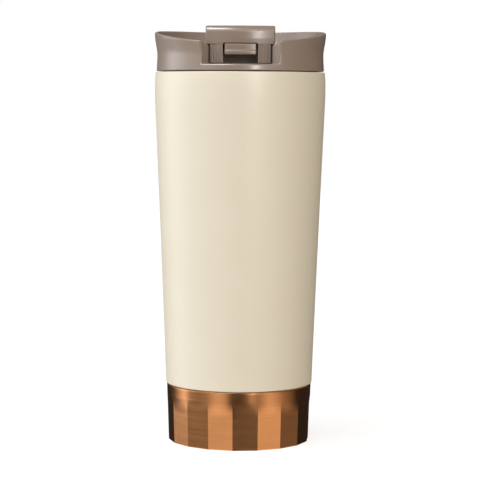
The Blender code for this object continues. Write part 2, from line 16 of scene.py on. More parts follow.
import bmesh
import bpy
import numpy as np
from mathutils import Euler, Matrix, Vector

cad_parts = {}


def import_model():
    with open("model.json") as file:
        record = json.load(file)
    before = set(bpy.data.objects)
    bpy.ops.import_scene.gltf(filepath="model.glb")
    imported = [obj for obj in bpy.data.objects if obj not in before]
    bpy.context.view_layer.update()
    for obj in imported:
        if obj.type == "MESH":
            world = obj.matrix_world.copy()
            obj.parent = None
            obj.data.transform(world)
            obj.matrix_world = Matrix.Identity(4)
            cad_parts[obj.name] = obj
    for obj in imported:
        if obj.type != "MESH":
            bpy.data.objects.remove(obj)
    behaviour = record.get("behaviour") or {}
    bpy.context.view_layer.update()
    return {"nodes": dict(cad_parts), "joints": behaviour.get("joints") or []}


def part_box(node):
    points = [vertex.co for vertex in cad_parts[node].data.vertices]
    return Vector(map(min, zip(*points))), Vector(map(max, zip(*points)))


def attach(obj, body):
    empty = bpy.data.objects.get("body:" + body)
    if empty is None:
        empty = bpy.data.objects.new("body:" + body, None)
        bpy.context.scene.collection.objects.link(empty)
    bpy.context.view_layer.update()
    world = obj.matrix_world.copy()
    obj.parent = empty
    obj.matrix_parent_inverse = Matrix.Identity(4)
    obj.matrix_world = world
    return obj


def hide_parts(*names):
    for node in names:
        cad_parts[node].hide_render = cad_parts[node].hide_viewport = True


LOG = logging.getLogger("tumbler")
MM = 0.001
RGBA = tuple[float, float, float, float]
Field = Callable[[np.ndarray, np.ndarray, np.ndarray], np.ndarray]


# ---------------------------------------------------------------- distances and blends


def round_and(a: np.ndarray, b: np.ndarray, radius: float) -> np.ndarray:
    """Intersection of two distance fields whose shared edge is rounded.

    Args:
        a: Distance to the first shape, negative inside.
        b: Distance to the second shape.
        radius: Radius of the rounded edge, in mm.

    Returns:
        The larger distance, eased by a quarter circle where both are near zero.
    """
    corner = np.hypot(np.maximum(radius + a, 0.0), np.maximum(radius + b, 0.0))
    return np.minimum(-radius, np.maximum(a, b)) + corner


def round_or(a: np.ndarray, b: np.ndarray, radius: float) -> np.ndarray:
    """Union of two distance fields with a fillet of that radius: the intersection of their outsides."""
    return -round_and(-a, -b, radius)


def round_cut(a: np.ndarray, b: np.ndarray, radius: float) -> np.ndarray:
    """Shape a without shape b, with the cut's edges rounded."""
    return round_and(a, -b, radius)


def slab(value: np.ndarray, low: float, high: float) -> np.ndarray:
    """Distance to the space between two parallel planes."""
    return np.abs(value - 0.5 * (low + high)) - 0.5 * (high - low)


def outline_distance(points: np.ndarray, a: np.ndarray, b: np.ndarray) -> np.ndarray:
    """Signed distance in a plane to a closed outline.

    Each side gives the distance to its nearest point; the sign flips once for each side that a ray
    from the place crosses.

    Args:
        points: Corners of the outline, one row each.
        a: First coordinate of the places asked about.
        b: Second coordinate.

    Returns:
        Distances, negative inside the outline.
    """
    nearest = np.full(np.shape(a), np.inf)
    sign = np.ones(np.shape(a))
    for start, end in zip(points, np.roll(points, -1, axis=0)):
        side = end - start
        to_a, to_b = a - start[0], b - start[1]
        along = np.clip((to_a * side[0] + to_b * side[1]) / (side @ side), 0.0, 1.0)
        nearest = np.minimum(nearest, (to_a - side[0] * along) ** 2 + (to_b - side[1] * along) ** 2)
        above, below = b >= start[1], b < end[1]
        left = side[0] * to_b > side[1] * to_a
        crossed = (above & below & left) | (~above & ~below & ~left)
        sign = np.where(crossed, -sign, sign)
    return sign * np.sqrt(nearest)


def arc(centre: tuple[float, float], radius: float, first: float, last: float, steps: int) -> np.ndarray:
    """Points on an arc in a plane, with angles in degrees from the first axis towards the second."""
    turn = np.radians(np.linspace(first, last, steps + 1))
    return np.stack([centre[0] + radius * np.cos(turn), centre[1] + radius * np.sin(turn)], axis=1)


def softened(points: list[tuple[float, float]], radius: float, steps: int = 5, closed: bool = False) -> np.ndarray:
    """A section whose corners are rounded.

    Each corner is replaced by a curve from a point before it to a point after it, each at most the
    radius away and at most 45% of the side, drawn through the corner as a quadratic curve's handle.

    Args:
        points: Corners of the section.
        radius: Distance from a corner at which its curve starts, in mm.
        steps: Sides of each curve.
        closed: Whether the last corner joins the first.

    Returns:
        The section's points, one row each.
    """
    corner = np.asarray(points, float)
    before, after = np.roll(corner, 1, axis=0) - corner, np.roll(corner, -1, axis=0) - corner
    reach = []
    for leg in (before, after):
        length = np.maximum(np.linalg.norm(leg, axis=1), 1e-9)
        reach.append(corner + leg * (np.minimum(radius, 0.45 * length) / length)[:, None])
    t = np.linspace(0.0, 1.0, steps + 1)[None, :, None]
    curve = reach[0][:, None] * (1 - t) ** 2 + 2 * corner[:, None] * t * (1 - t) + reach[1][:, None] * t**2
    if closed:
        return curve.reshape(-1, 2)
    return np.concatenate([corner[:1], curve[1:-1].reshape(-1, 2), corner[-1:]])


# ---------------------------------------------------------------- meshes


def mesh_object(name: str, points: np.ndarray, faces: np.ndarray, smooth_angle: float = 35.0) -> bpy.types.Object:
    """Puts points and faces into a new object at the origin, merged, closed and facing out.

    Args:
        name: Name of the piece.
        points: Vertices in mm, one row each.
        faces: Corner numbers, four to a row. A quad may have two corners in one place, at a pole.
        smooth_angle: Edges sharper than this, in degrees, stay sharp.

    Returns:
        The object, linked to the scene.
    """
    mesh = bpy.data.meshes.new(name)
    mesh.from_pydata(points * MM, [], faces)
    shape = bmesh.new()
    shape.from_mesh(mesh)
    bmesh.ops.remove_doubles(shape, verts=shape.verts, dist=2e-7)
    bmesh.ops.recalc_face_normals(shape, faces=shape.faces)
    shape.to_mesh(mesh)
    shape.free()
    mesh.shade_smooth()
    mesh.set_sharp_from_angle(angle=math.radians(smooth_angle))
    piece = bpy.data.objects.new(name, mesh)
    bpy.context.scene.collection.objects.link(piece)
    return piece


def grid_faces(rows: int, columns: int, wrap_rows: bool, wrap_columns: bool) -> np.ndarray:
    """Quads of a grid of rows by columns points, joined round where it wraps."""
    row = np.arange(rows if wrap_rows else rows - 1)[:, None]
    column = np.arange(columns if wrap_columns else columns - 1)[None, :]
    down, right = (row + 1) % rows, (column + 1) % columns
    corners = [row * columns + column, down * columns + column, down * columns + right, row * columns + right]
    return np.stack(np.broadcast_arrays(*corners), axis=-1).reshape(-1, 4)


def turned(name: str, section: np.ndarray, sides: int, centre: tuple[float, float] = (0.0, 0.0), smooth_angle: float = 35.0) -> bpy.types.Object:
    """A section turned round an upright axis: x and y are its radius times sine and cosine of the angle.

    Args:
        name: Name of the piece.
        section: Rows of radius and height in mm. It is closed unless it starts on the axis.
        sides: Number of sides round.
        centre: Where the axis stands.
        smooth_angle: Edges sharper than this, in degrees, stay sharp.

    Returns:
        The turned piece.
    """
    angle = np.linspace(0.0, math.tau, sides, endpoint=False)[:, None]
    radius, height = section[None, :, 0], section[None, :, 1]
    points = np.stack([centre[0] + radius * np.sin(angle), centre[1] - radius * np.cos(angle), height + 0.0 * angle], axis=-1)
    faces = grid_faces(sides, len(section), True, section[0, 0] > 1e-9)
    return mesh_object(name, points.reshape(-1, 3), faces, smooth_angle)


def carried(name: str, loops: np.ndarray, smooth_angle: float = 35.0) -> bpy.types.Object:
    """Closed loops of points, one after another, skinned along their length, with both ends closed by a fan.

    Args:
        name: Name of the piece.
        loops: Array of loop, point and coordinate, in mm.
        smooth_angle: Edges sharper than this, in degrees, stay sharp.

    Returns:
        The skinned piece.
    """
    first, last = loops[:1].mean(axis=1, keepdims=True), loops[-1:].mean(axis=1, keepdims=True)
    count = loops.shape[1]
    ends = [np.repeat(first, count, axis=1), np.repeat(last, count, axis=1)]
    whole = np.concatenate([ends[0], loops, ends[1]])
    return mesh_object(name, whole.reshape(-1, 3), grid_faces(len(whole), count, False, True), smooth_angle)


def slope_of(shape: Field, points: np.ndarray, reach: float) -> np.ndarray:
    """Gradient of a distance field at points, from differences over twice the reach."""
    slope = np.empty_like(points)
    for axis in range(3):
        shift = np.zeros(3)
        shift[axis] = reach
        slope[:, axis] = (shape(*(points + shift).T) - shape(*(points - shift).T)) / (2 * reach)
    return slope


def moulded(name: str, shape: Field, low: tuple[float, float, float], high: tuple[float, float, float], step: float) -> bpy.types.Object:
    """The zero surface of a distance field, as a net of quads.

    Space is cut into cubes. Each cube that the surface crosses gets one point, which slides down the
    field's slope on to the surface without leaving the cube by much, and each cube edge that the
    surface crosses joins the points of its four cubes into a quad.

    Args:
        name: Name of the piece.
        shape: Signed distance in mm at x, y, z, negative inside.
        low: Lowest corner of the space searched, clear of the shape.
        high: Highest corner.
        step: Side of a cube, in mm.

    Returns:
        The piece, shaded smooth all over with the field's own slope as its normals.
    """
    axes = [np.arange(a, b + step, step) for a, b in zip(low, high)]
    inside = shape(*np.meshgrid(*axes, indexing="ij")) < 0.0
    cells = [len(axis) - 1 for axis in axes]
    count = np.zeros(cells, np.int8)
    for i, j, k in np.ndindex(2, 2, 2):
        count += inside[i : cells[0] + i, j : cells[1] + j, k : cells[2] + k]
    crossed = (count > 0) & (count < 8)
    number = np.full(cells, -1, np.int64)
    number[crossed] = np.arange(crossed.sum())
    middle = np.argwhere(crossed) * step + np.asarray(low, float) + 0.5 * step
    points = middle.copy()
    for _ in range(8):
        slope = slope_of(shape, points, 0.02)
        steep = np.maximum((slope**2).sum(axis=1), 1e-6)
        points -= slope * (shape(*points.T) / steep)[:, None] * 0.9
        points = np.clip(points, middle - 0.6 * step, middle + 0.6 * step)
    quads = []
    for axis in range(3):
        other, third = (axis + 1) % 3, (axis + 2) % 3
        lower, upper = [slice(None)] * 3, [slice(None)] * 3
        lower[axis], upper[axis] = slice(None, -1), slice(1, None)
        starts, ends = inside[tuple(lower)], inside[tuple(upper)]
        place = np.argwhere(starts != ends)
        place = place[(place[:, other] > 0) & (place[:, third] > 0)]
        place = place[(place[:, other] < cells[other]) & (place[:, third] < cells[third])]
        around = []
        for back_other, back_third in ((0, 0), (1, 0), (1, 1), (0, 1)):
            cell = place.copy()
            cell[:, other] -= back_other
            cell[:, third] -= back_third
            around.append(number[tuple(cell.T)])
        quad = np.stack(around, axis=1)
        outward = starts[tuple(place.T)]
        quads.append(np.where(outward[:, None], quad, quad[:, ::-1]))
    mesh = bpy.data.meshes.new(name)
    mesh.from_pydata(points * MM, [], np.concatenate(quads))
    mesh.shade_smooth()
    slope = slope_of(shape, points, 0.05)
    slope /= np.maximum(np.linalg.norm(slope, axis=1, keepdims=True), 1e-9)
    mesh.normals_split_custom_set_from_vertices(slope)
    piece = bpy.data.objects.new(name, mesh)
    bpy.context.scene.collection.objects.link(piece)
    return piece


# ---------------------------------------------------------------- materials


def colour(hex_value: str) -> RGBA:
    """Linear RGBA of an sRGB hex colour such as "E6DCC6"."""
    channels = np.array([int(hex_value[i : i + 2], 16) for i in (0, 2, 4)]) / 255.0
    linear = np.where(channels <= 0.04045, channels / 12.92, ((channels + 0.055) / 1.055) ** 2.4)
    return (*linear.tolist(), 1.0)


def add_node(tree: bpy.types.NodeTree, kind: str, settings: dict | None = None, **inputs: object) -> bpy.types.Node:
    """Adds a node with its settings and links.

    Args:
        tree: Node tree that gets the node.
        kind: Blender's type name of the node.
        settings: Values of the node's own properties.
        **inputs: Value, or output socket to link, of each input, by its name with _ for a space or
            by its number after "at".

    Returns:
        The new node.
    """
    node = tree.nodes.new(kind)
    for key, value in (settings or {}).items():
        setattr(node, key, value)
    for key, value in inputs.items():
        socket = node.inputs[int(key[2:])] if key[:2] == "at" and key[2:].isdigit() else node.inputs[key.replace("_", " ")]
        if isinstance(value, bpy.types.NodeSocket):
            tree.links.new(value, socket)
        else:
            socket.default_value = value
    return node


def ramp(
    tree: bpy.types.NodeTree, factor: bpy.types.NodeSocket, stops: list[tuple[float, RGBA]]
) -> bpy.types.NodeSocket:
    """A colour ramp.

    Args:
        tree: Node tree that gets the ramp.
        factor: Value that picks the colour.
        stops: Position and linear colour of each stop, in order.

    Returns:
        The ramp's colour.
    """
    node = add_node(tree, "ShaderNodeValToRGB", Fac=factor)
    elements = node.color_ramp.elements
    elements.remove(elements[1])
    elements[0].position, elements[0].color = stops[0]
    for position, value in stops[1:]:
        elements.new(position).color = value
    return node.outputs["Color"]


class Grain(Enum):
    """Which way a surface's fine marks run."""

    EVEN = "even"
    ROUND = "round"  # round the Z axis, as a part turned against a brush gets them
    ALONG_X = "along_x"


@dataclass(frozen=True)
class Finish:
    """A finish: a real material and how its surface was made.

    Args:
        name: The material's name.
        shade: Colours of the surface from its dark to its light patches, as sRGB hex.
        metallic: 1 for bare metal, 0 for the rest.
        roughness: Lowest and highest roughness.
        grain: Direction of the fine marks.
        mark_mm: Width of a mark or a grain, in mm.
        bump_um: Height of the marks, in micrometres.
        coat: Weight of a clear, glossier skin.
        sheen: Weight of a soft, dusty edge sheen.
        anisotropic: How much highlights are drawn out across the marks.
    """

    name: str
    shade: tuple[str, str]
    metallic: float
    roughness: tuple[float, float]
    grain: Grain
    mark_mm: float
    bump_um: float
    coat: float = 0.0
    sheen: float = 0.0
    anisotropic: float = 0.0

    def build(self) -> bpy.types.Material:
        """Builds the node material.

        Marks are noise on a coordinate stretched along their direction: round the axis, the
        coordinate is the angle times a middling radius, so a mark keeps its length in mm.

        Returns:
            The material.
        """
        material = bpy.data.materials.new(self.name)
        material.use_nodes = True
        tree = material.node_tree
        shader = tree.nodes["Principled BSDF"]
        place = add_node(tree, "ShaderNodeTexCoord").outputs["Object"]
        scale = 1.0 / (self.mark_mm * MM)
        if self.grain is Grain.ROUND:
            parts = add_node(tree, "ShaderNodeSeparateXYZ", Vector=place).outputs
            turn = add_node(tree, "ShaderNodeMath", {"operation": "ARCTAN2"}, at0=parts["X"], at1=parts["Y"]).outputs[0]
            around = add_node(tree, "ShaderNodeMath", {"operation": "MULTIPLY"}, at0=turn, at1=0.036 / 60.0).outputs[0]
            spread = add_node(tree, "ShaderNodeMath", {"operation": "MULTIPLY"}, at0=around, at1=1.0).outputs[0]
            marks_at = add_node(tree, "ShaderNodeCombineXYZ", X=spread, Y=0.0, Z=parts["Z"]).outputs[0]
        elif self.grain is Grain.ALONG_X:
            marks_at = add_node(tree, "ShaderNodeMapping", Vector=place, Scale=(0.03, 1.0, 1.0)).outputs[0]
        else:
            marks_at = place
        marks = add_node(tree, "ShaderNodeTexNoise", Vector=marks_at, Scale=scale, Detail=3.0, Roughness=0.6).outputs["Fac"]
        cloud = add_node(tree, "ShaderNodeTexNoise", Vector=place, Scale=55.0, Detail=2.0).outputs["Fac"]
        mixed = add_node(tree, "ShaderNodeMath", {"operation": "MULTIPLY_ADD"}, at0=marks, at1=0.6, at2=0.0)
        blend = add_node(tree, "ShaderNodeMath", {"operation": "MULTIPLY_ADD"}, at0=cloud, at1=0.4, at2=mixed.outputs[0])
        tint = ramp(tree, blend.outputs[0], [(0.32, colour(self.shade[0])), (0.68, colour(self.shade[1]))])
        rough = add_node(tree, "ShaderNodeMapRange", Value=marks, at3=self.roughness[0], at4=self.roughness[1])
        bump = add_node(tree, "ShaderNodeBump", Height=marks, Strength=1.0, Distance=self.bump_um * 1e-6)
        tree.links.new(tint, shader.inputs["Base Color"])
        tree.links.new(rough.outputs[0], shader.inputs["Roughness"])
        tree.links.new(bump.outputs[0], shader.inputs["Normal"])
        shader.inputs["Metallic"].default_value = self.metallic
        shader.inputs["Coat Weight"].default_value = self.coat
        shader.inputs["Coat Roughness"].default_value = 0.25
        shader.inputs["Sheen Weight"].default_value = self.sheen
        shader.inputs["Anisotropic"].default_value = self.anisotropic
        if self.grain is Grain.ROUND:
            tangent = add_node(tree, "ShaderNodeTangent", {"direction_type": "RADIAL", "axis": "Z"})
            tree.links.new(tangent.outputs[0], shader.inputs["Tangent"])
            shader.inputs["Anisotropic Rotation"].default_value = 0.25
        return material


# Satin polyester powder coat on steel: an even cream with the faint unevenness of baked powder.
POWDER_COAT = Finish("powder_coated_steel", ("DED3BD", "E1D7C2"), 0.0, (0.36, 0.42), Grain.EVEN, 0.9, 6.0)
# Copper plate over brushed steel: fine level brush lines that draw each reflection out upright.
COPPER_PLATE = Finish("copper_plated_brushed_steel", ("CF8A56", "DC9A66"), 1.0, (0.19, 0.27), Grain.ROUND, 0.55, 2.5, anisotropic=0.7)
# Deep-drawn stainless steel, brushed round on the inside of the liner.
LINER_STEEL = Finish("brushed_stainless_steel", ("A9A7A3", "C2C0BC"), 1.0, (0.26, 0.38), Grain.ROUND, 0.35, 2.0, anisotropic=0.6)
# Polypropylene moulded in a spark-eroded tool: warm taupe, satin, with a fine even grain.
MOULDED_PP = Finish("moulded_polypropylene", ("8B7A6D", "928174"), 0.0, (0.22, 0.28), Grain.EVEN, 0.35, 4.0)
# Food-grade silicone: matte, slightly dusty, darker than the plastic.
SILICONE = Finish("moulded_silicone", ("5E5650", "67605A"), 0.0, (0.55, 0.65), Grain.EVEN, 0.5, 4.0, sheen=0.15)
# Drawn spring and pin wire: bright with fine lines.
DRAWN_WIRE = Finish("drawn_stainless_wire", ("B2B1AE", "C9C8C6"), 1.0, (0.18, 0.28), Grain.ALONG_X, 0.1, 1.0)
# Sintered getter metal and solder: dull greys that stay inside the wall.
GETTER_METAL = Finish("sintered_getter_metal", ("6E6C69", "85827F"), 1.0, (0.55, 0.7), Grain.EVEN, 0.3, 8.0)
SOLDER = Finish("seal_solder", ("A19F9A", "B3B1AC"), 1.0, (0.35, 0.5), Grain.EVEN, 0.8, 8.0)


class Wardrobe:
    """Builds each finish once and dresses pieces in it."""

    def __init__(self) -> None:
        """Starts with no materials built."""
        self.built: dict[str, bpy.types.Material] = {}

    def dress(self, piece: bpy.types.Object, finish: Finish) -> None:
        """Gives a piece's only slot the finish."""
        if finish.name not in self.built:
            self.built[finish.name] = finish.build()
        if not piece.data.materials:
            piece.data.materials.append(None)
        for slot in piece.material_slots:
            slot.link = "OBJECT"
            slot.material = self.built[finish.name]

    def place(self, piece: bpy.types.Object, finish: Finish, body: str, slot: str, *nodes: str) -> bpy.types.Object:
        """Dresses a new piece and ties it to the frame.

        Args:
            piece: The piece, in place.
            finish: Its finish.
            body: CAD body that it moves with.
            slot: The record's material slot; not used.
            *nodes: CAD nodes that it stands for.

        Returns:
            The piece.
        """
        self.dress(piece, finish)
        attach(piece, body)
        if nodes:
            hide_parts(*nodes)
        LOG.info("%s: %d faces on %s", piece.name, len(piece.data.polygons), body)
        return piece


# ---------------------------------------------------------------- the cup


@dataclass
class Cup:
    """Shell, liner and base cup of the tumbler. Sizes in mm.

    The two heights and the widest radius come from the frame; the rest are the steel's own sizes.
    """

    wardrobe: Wardrobe
    rim_z: float = field(init=False)
    belly_r: float = field(init=False)
    base_top_z: float = field(init=False)
    foot_z: float = 27.5
    foot_r: float = 34.5
    shoulder_z: float = 160.0
    wall: float = 0.6
    socket_r: float = 31.5
    neck_r: float = 37.3
    neck_z: float = 158.0
    liner_foot_r: float = 28.3
    liner_floor_z: float = 9.0
    liner_wall: float = 0.5
    facets: int = 18
    facet_start: float = math.radians(-4.8)
    facet_flat_r: float = 32.73
    facet_rise: float = 0.45
    run_out: tuple[float, float] = (14.6, 22.6)
    cup_foot_r: float = 33.35
    cup_top_r: float = 34.1

    def __post_init__(self) -> None:
        """Reads the heights and the belly from the frame."""
        low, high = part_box("outer_shell")
        self.rim_z = high[2] / MM
        self.belly_r = high[0] / MM
        self.base_top_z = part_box("base_cup")[1][2] / MM

    def shell_outside(self, z: np.ndarray) -> np.ndarray:
        """Radius of the shell's outside.

        A straight taper to the shoulder, drawn in by up to an eighth of a millimetre halfway, then
        a belly and a short fall to the lip: both ease in as squares of the height.
        """
        t = np.clip((z - self.foot_z) / (self.shoulder_z - self.foot_z), 0.0, 1.0)
        taper = self.foot_r + (self.belly_r - 0.1 - self.foot_r) * t - 0.5 * t * (1.0 - t)
        rise = np.clip((z - self.shoulder_z) / 6.0, 0.0, 1.0)
        fall = np.clip((z - 167.0) / (self.rim_z - 167.0), 0.0, 1.0)
        return taper + 0.1 * rise * (2.0 - rise) - 0.42 * fall**2.2

    def make_shell(self) -> None:
        """Outer wall: taper, curled lip, and the narrow end that goes down into the base cup."""
        z = np.concatenate([np.linspace(self.foot_z + 0.35, 165.0, 90), np.linspace(165.5, self.rim_z - 0.55, 24)])
        taper = np.stack([self.shell_outside(z), z], axis=1)
        edge = self.shell_outside(np.array([self.foot_z + 0.3]))[0]
        hem = arc((edge - 0.3, self.foot_z + 0.3), 0.3, -90, 0, 5)[:-1]
        top = self.shell_outside(np.array([self.rim_z - 0.5]))[0]
        curl = arc((top - 0.5, self.rim_z - 0.5), 0.5, 0, 90, 6)
        inner_edge = self.neck_r + self.liner_wall + 0.6
        socket = [(self.socket_r, 3.0), (self.socket_r, 24.0), (self.socket_r + 0.4, 25.9), (33.0, 27.2)]
        inside_z = np.linspace(self.rim_z - 3.0, self.foot_z + 1.0, 30)
        inside = np.stack([self.shell_outside(inside_z) - self.wall, inside_z], axis=1)
        seat = [(inner_edge, self.rim_z), (inner_edge, self.rim_z - self.wall)]
        end = [(self.socket_r - self.wall, 26.0), (self.socket_r - self.wall, 3.0)]
        section = np.concatenate([socket, hem, taper, curl, seat, inside, end])
        shell = turned("powder_coated_shell", section, 256)
        self.wardrobe.place(shell, POWDER_COAT, "cup", "cream_powder_coat", "outer_shell")

    def make_liner(self) -> None:
        """Liner: dished floor, straight wall, a rolled bead below the neck, and its lip."""
        slope = (37.0 - self.liner_foot_r) / (self.neck_z - self.liner_floor_z)
        z = np.linspace(14.0, self.neck_z - 4.0, 60)
        wall = np.stack([self.liner_foot_r + slope * (z - self.liner_floor_z), z], axis=1)
        floor = softened(
            [(0.0, self.liner_floor_z + 1.2), (14.0, self.liner_floor_z + 0.8), (24.0, self.liner_floor_z), (27.6, 10.2), (28.6, 14.0)],
            3.0,
        )
        bead_z = np.linspace(self.neck_z - 3.5, self.neck_z - 0.5, 9)
        bead_r = 36.85 - 0.35 * np.sin(np.linspace(0.0, math.pi, 9)) ** 2
        bead = np.stack([bead_r, bead_z], axis=1)
        neck = np.array([(self.neck_r, self.neck_z), (self.neck_r, self.rim_z - 0.2), (self.neck_r + 0.2, self.rim_z)])
        inside = np.concatenate([floor[:-1], wall, bead, neck])
        outside = inside[::-1] + np.array([self.liner_wall, 0.0])
        low = outside[:, 1] < 14.0
        drop = np.clip(outside[:, 0] / self.liner_foot_r, 0.0, 1.0) ** 4
        outside[low, 0] -= self.liner_wall * (1.0 - drop[low])
        outside[low, 1] -= self.liner_wall
        outside[-1, 0] = 0.0
        liner = turned("steel_liner", np.concatenate([inside, outside]), 192)
        self.wardrobe.place(liner, LINER_STEEL, "cup", "stainless_steel", "inner_liner")

    def cup_outside(self, angle: np.ndarray, z: np.ndarray) -> np.ndarray:
        """Radius of the base cup's outside.

        The lesser of a cone and of 18 flats: a flat at a distance d from the axis is at d over the
        cosine of the angle from its middle, and leans out with height. Above its straight part it
        fades into the cone as a smooth step of the height.
        """
        width = math.tau / self.facets
        off = (angle - self.facet_start) % width - width / 2
        cone = self.cup_foot_r + (self.cup_top_r - self.cup_foot_r) * z / self.base_top_z
        flat = self.facet_flat_r + self.facet_rise * z / self.run_out[0]
        cut = np.minimum(cone, flat / np.cos(off))
        t = np.clip((z - self.run_out[0]) / (self.run_out[1] - self.run_out[0]), 0.0, 1.0)
        return cut + (cone - cut) * t * t * (3.0 - 2.0 * t)

    def make_base_cup(self) -> None:
        """Faceted copper cup: crisp facet edges, arched run-outs, a rolled top edge and a recessed foot."""
        share = np.linspace(0.0, 1.0, 24, endpoint=False)
        share = share - 0.85 * np.sin(math.tau * share) / math.tau
        width = math.tau / self.facets
        angle = (self.facet_start + (np.arange(self.facets)[:, None] + share[None, :]) * width).reshape(-1, 1)
        z = np.concatenate([[0.35, 0.6, 1.2, 3.0, 6.0, 9.0, 11.0], np.linspace(12.0, 22.0, 48), np.linspace(22.5, 26.5, 8)])
        wall = self.cup_outside(angle, z[None, :])
        foot, top = wall[:, :1], wall[:, -1:]
        inner = [(30.6, 0.0), (30.2, 0.25), (0.0, 0.25)]
        bore = [(32.3, self.base_top_z - 0.1), (32.0, 24.0), (31.9, 0.9), (0.0, 0.9)]
        radii = [np.zeros_like(foot) + r for r, _ in reversed(inner)]
        radii += [foot - 0.35, foot - 0.1, wall, top - 0.02, top - 0.1, top - 0.5]
        radii += [np.zeros_like(foot) + r for r, _ in bore]
        heights = [h for _, h in reversed(inner)] + [0.0, 0.1] + z.tolist()
        heights += [self.base_top_z - 0.12, self.base_top_z - 0.03, self.base_top_z] + [h for _, h in bore]
        radius = np.concatenate(radii, axis=1)
        height = np.asarray(heights)[None, :] + 0.0 * angle
        points = np.stack([radius * np.sin(angle), -radius * np.cos(angle), height], axis=-1)
        faces = grid_faces(*radius.shape, True, False)
        cup = mesh_object("copper_base_cup", points.reshape(-1, 3), faces, 30.0)
        self.wardrobe.place(cup, COPPER_PLATE, "cup", "copper_plate", "base_cup")

    def make(self) -> None:
        """Builds the cup's pieces."""
        self.make_shell()
        self.make_liner()
        self.make_base_cup()


# ---------------------------------------------------------------- the lid


@dataclass
class Lid:
    """Moulded lid: rim, deck, notch, hinge boss, plug, gasket and hinge pin. Sizes in mm."""

    wardrobe: Wardrobe
    pin: tuple[float, float]
    bottom_z: float = 174.0
    waist_z: float = 181.2
    foot_r: float = 39.25
    waist_r: float = 38.9
    flare_r: float = 40.07
    flare_z: float = 191.0
    lip: float = 1.85
    deck_z: float = 185.6
    deck_wall: float = 1.8
    deck_r: float = 35.1
    bore_r: float = 37.3
    shelf_r: float = 34.8
    shelf_z: float = 175.8
    notch_floor_z: float = 177.0
    notch_half: float = 14.5
    notch_mouth_y: float = -31.3
    notch_back_y: float = -26.7
    pocket_half: float = 7.75
    pocket_back_y: float = -21.5
    pocket_wall: float = 1.6
    edge_r: float = 0.75
    sip: tuple[float, float] = (-13.0, 4.8)
    vent: tuple[float, float] = (-3.0, 1.3)
    boss_r: float = 2.6
    boss_half: float = 10.9
    plug_r: float = 36.3
    plug_wall: float = 1.6
    plug_bottom_z: float = 160.0
    gasket_z: float = 166.5

    def outside(self, z: np.ndarray) -> np.ndarray:
        """Radius of the lid's outside: it falls to a waist, then flares as a smooth step to the lip."""
        t = np.clip((z - self.waist_z) / (self.flare_z - self.waist_z), 0.0, 1.0)
        s = np.clip((self.waist_z - z) / (self.waist_z - self.bottom_z), 0.0, 1.2)
        flare = (self.flare_r - self.waist_r) * t * t * (3.0 - 2.0 * t)
        return self.waist_r + flare + (self.foot_r - self.waist_r) * s**1.4

    def rim_top(self, x: np.ndarray, y: np.ndarray) -> np.ndarray:
        """Height of the rim: a mean, less a tilt times the cosine and a saddle times that of twice the angle."""
        forward = -y / np.maximum(np.hypot(x, y), 1.0)
        return 191.075 - 3.35 * forward - 1.125 * (2.0 * forward**2 - 1.0)

    def notch(self, x: np.ndarray, y: np.ndarray, grow: float = 0.0) -> np.ndarray:
        """Plan distance to the notch: a mouth that narrows at 45 degrees, a leg bay and the button's pocket."""
        side = np.abs(x)
        funnel = (side - self.notch_half + (y - self.notch_mouth_y)) / math.sqrt(2.0)
        bay = np.maximum(round_or(side - self.notch_half, funnel, 0.3), y - self.notch_back_y)
        pocket = np.maximum(side - self.pocket_half, y - self.pocket_back_y)
        return round_or(bay, pocket, 0.3) - grow

    def shell(self, x: np.ndarray, y: np.ndarray, z: np.ndarray) -> np.ndarray:
        """Signed distance to the lid's shell.

        The deck and a rim whose inner wall leans outwards are joined with a fillet and cut to the
        outside; the underside is hollowed; the notch, with walls of its own, is cut from the front;
        and the hinge boss stands on the deck.
        """
        radius = np.hypot(x, y)
        top = self.rim_top(x, y)
        out = radius - self.outside(z)
        share = np.clip((z - self.deck_z) / np.maximum(top - self.deck_z, 0.5), 0.0, 1.0)
        inner_r = self.deck_r + (self.outside(top) - self.lip - self.deck_r) * share**0.55
        rim = round_and(inner_r - radius, z - top, 0.7)
        solid = round_or(z - self.deck_z, rim, 0.9)
        solid = round_and(solid, out, 0.75)
        hollow = np.maximum(radius - self.bore_r, slab(z, self.shelf_z, self.deck_z - self.deck_wall))
        bore = np.maximum(radius - self.shelf_r, z - self.shelf_z - 0.5)
        solid = np.maximum(np.maximum(solid, -hollow), -bore)
        walls = np.maximum(self.notch(x, y, self.pocket_wall), slab(z, 175.0, 184.8))
        solid = np.minimum(solid, np.maximum(walls, radius - self.waist_r + 0.6))
        space = round_and(self.notch(x, y), self.notch_floor_z - z, 0.4)
        solid = round_cut(solid, space, self.edge_r)
        solid = round_or(solid, self.boss(x, y, z), 0.5)
        pin_bore = np.hypot(y - self.pin[0], z - self.pin[1]) - 1.15
        solid = np.maximum(solid, -np.maximum(pin_bore, np.abs(x) - 20.0))
        for place, hole_r in (self.sip, self.vent):
            hole = np.maximum(np.hypot(x, y - place) - hole_r, 180.0 - z)
            solid = round_cut(solid, hole, 0.35)
        return round_and(solid, self.bottom_z - z, 0.3)

    def boss(self, x: np.ndarray, y: np.ndarray, z: np.ndarray) -> np.ndarray:
        """Signed distance to the hinge boss: a round bar on a foot of its own width."""
        bar = np.hypot(y - self.pin[0], z - self.pin[1]) - self.boss_r
        foot = np.maximum(np.abs(y - self.pin[0]) - self.boss_r, z - self.pin[1])
        body = np.maximum(np.minimum(bar, foot), self.deck_z - 1.0 - z)
        return round_and(body, np.abs(x) - self.boss_half, 0.4)

    def make_shell(self) -> None:
        """Lid shell, moulded in one."""
        reach = self.flare_r + 1.0
        shell = moulded("lid_shell_moulding", self.shell, (-reach, -reach, 173.2), (reach, reach, 194.4), 0.52)
        self.wardrobe.place(shell, MOULDED_PP, "lid", "taupe_plastic", "lid_shell")

